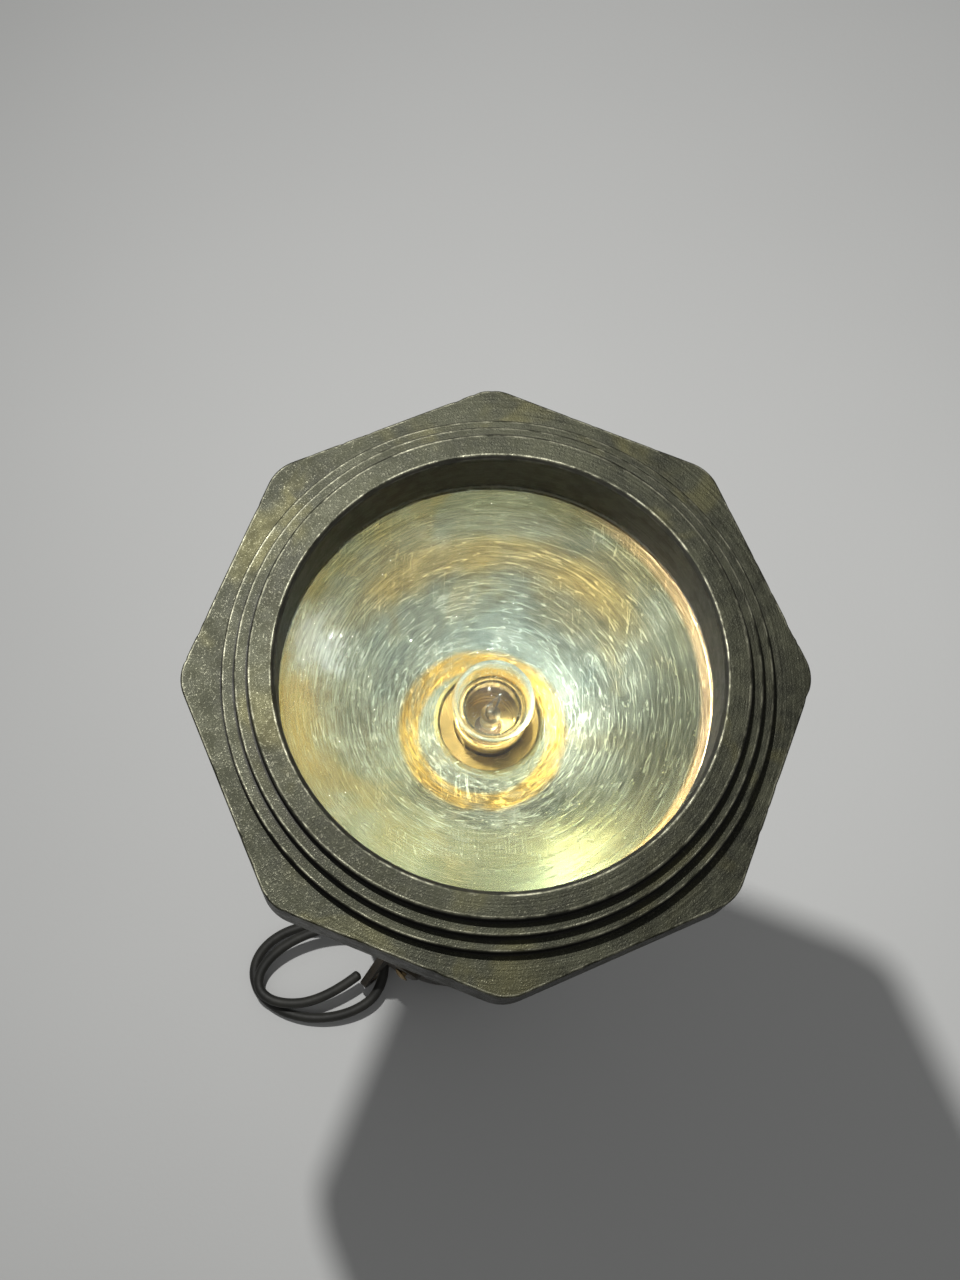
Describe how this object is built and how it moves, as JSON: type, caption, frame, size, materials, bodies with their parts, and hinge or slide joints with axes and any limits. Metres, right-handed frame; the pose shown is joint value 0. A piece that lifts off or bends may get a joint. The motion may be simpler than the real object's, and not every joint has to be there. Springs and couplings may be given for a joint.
{
  "type": "hand_lamp",
  "caption": "Old two-cell electric hand lamp standing on its tail: eight-sided bronzed lens ring with turned steps, flat glass, silvered bowl and bulb, slide switch, wire hanging loop.",
  "frame": {"origin": "centre of the flat tail face", "axes": "+Z along the lamp's axis to the lens, the hanging loop's ear on -X, the switch on -Y"},
  "size_m": [0.0847, 0.0796, 0.1849],
  "materials": {
    "case_metal": "worn dark lacquer over pressed brass",
    "head_metal": "worn dark lacquer over pressed brass",
    "bezel_metal": "dark bronzed turned metal with bright worn edges",
    "ear_metal": "dark bronzed sheet metal",
    "rivet_metal": "tarnished brass",
    "loop_wire": "matt blackened wire",
    "contact_brass": "plain brass sheet",
    "bulb_brass": "tarnished brass",
    "spring_steel": "plated spring wire",
    "fibre": "dark vulcanised fibre",
    "cell_jacket": "plain varnished card over zinc",
    "solder": "dull solder",
    "bulb_glass": "clear thin glass",
    "stem_glass": "pressed glass",
    "tungsten": "drawn tungsten",
    "reflector_plate": "tarnished silver plate",
    "gasket_rubber": "black rubber",
    "lens_glass": "clear flat glass",
    "knob_black": "black moulded",
    "button_red": "dark red moulded"
  },
  "bodies": {
    "base": {"tail_cap": "case_metal", "ring_ear": "ear_metal", "ear_rivets": "rivet_metal", "spring_seat": "contact_brass", "tail_spring": "spring_steel"},
    "cell_stack": {"spring_contact": "contact_brass", "cell_rear": "cell_jacket", "cell_rear_terminal": "contact_brass", "cell_front": "cell_jacket", "cell_front_terminal": "contact_brass"},
    "tube": {"barrel": "case_metal", "barrel_liner": "fibre", "contact_block": "fibre", "centre_contact": "contact_brass", "bulb_socket": "contact_brass", "bulb_base": "bulb_brass", "bulb_insulator": "fibre", "bulb_tip": "solder", "bulb_glass": "bulb_glass", "bulb_stem": "stem_glass", "filament": "tungsten", "reflector": "reflector_plate", "head_shell": "head_metal", "switch_plate": "ear_metal", "button_leaf": "contact_brass", "contact_strip": "contact_brass", "switch_rivets": "rivet_metal"},
    "lens_stack": {"lens_gasket": "gasket_rubber", "lens": "lens_glass"},
    "front_ring": {"bezel": "bezel_metal"},
    "loop": {"hanging_loop": "loop_wire"},
    "knob": {"slide_knob": "knob_black", "slide_contact": "contact_brass"},
    "button": {"flash_button": "button_red"}
  },
  "joints": [
    {"name": "tail_rise", "type": "slide", "parent": "base", "child": "cell_stack", "axis": [0, 0, 1], "range_m": [0, 0.005]},
    {"name": "tail_turn", "type": "hinge", "parent": "cell_stack", "child": "tube", "pos_m": [0, 0, 0.025], "axis": [0, 0, 1], "range_deg": [0, 720]},
    {"name": "lens_rise", "type": "slide", "parent": "tube", "child": "lens_stack", "axis": [0, 0, 1], "range_m": [0, 0.005]},
    {"name": "front_turn", "type": "hinge", "parent": "lens_stack", "child": "front_ring", "pos_m": [0, 0, 0.168], "axis": [0, 0, 1], "range_deg": [0, 720]},
    {"name": "switch_slide", "type": "slide", "parent": "tube", "child": "knob", "axis": [0, 0, 1], "range_m": [0, 0.008]},
    {"name": "flash_press", "type": "slide", "parent": "tube", "child": "button", "axis": [0, 1, 0], "range_m": [0, 0.001], "stiffness_N_per_m": 1500},
    {"name": "loop_swing", "type": "hinge", "parent": "base", "child": "loop", "pos_m": [-0.0217, 0, 0.0067], "axis": [0, 1, 0], "range_deg": [-80, 86]}
  ],
  "couplings": [
    {"joint": "tail_rise", "follows": "tail_turn", "m_per_rad": 0.00039789},
    {"joint": "lens_rise", "follows": "front_turn", "m_per_rad": 0.00039789}
  ]
}
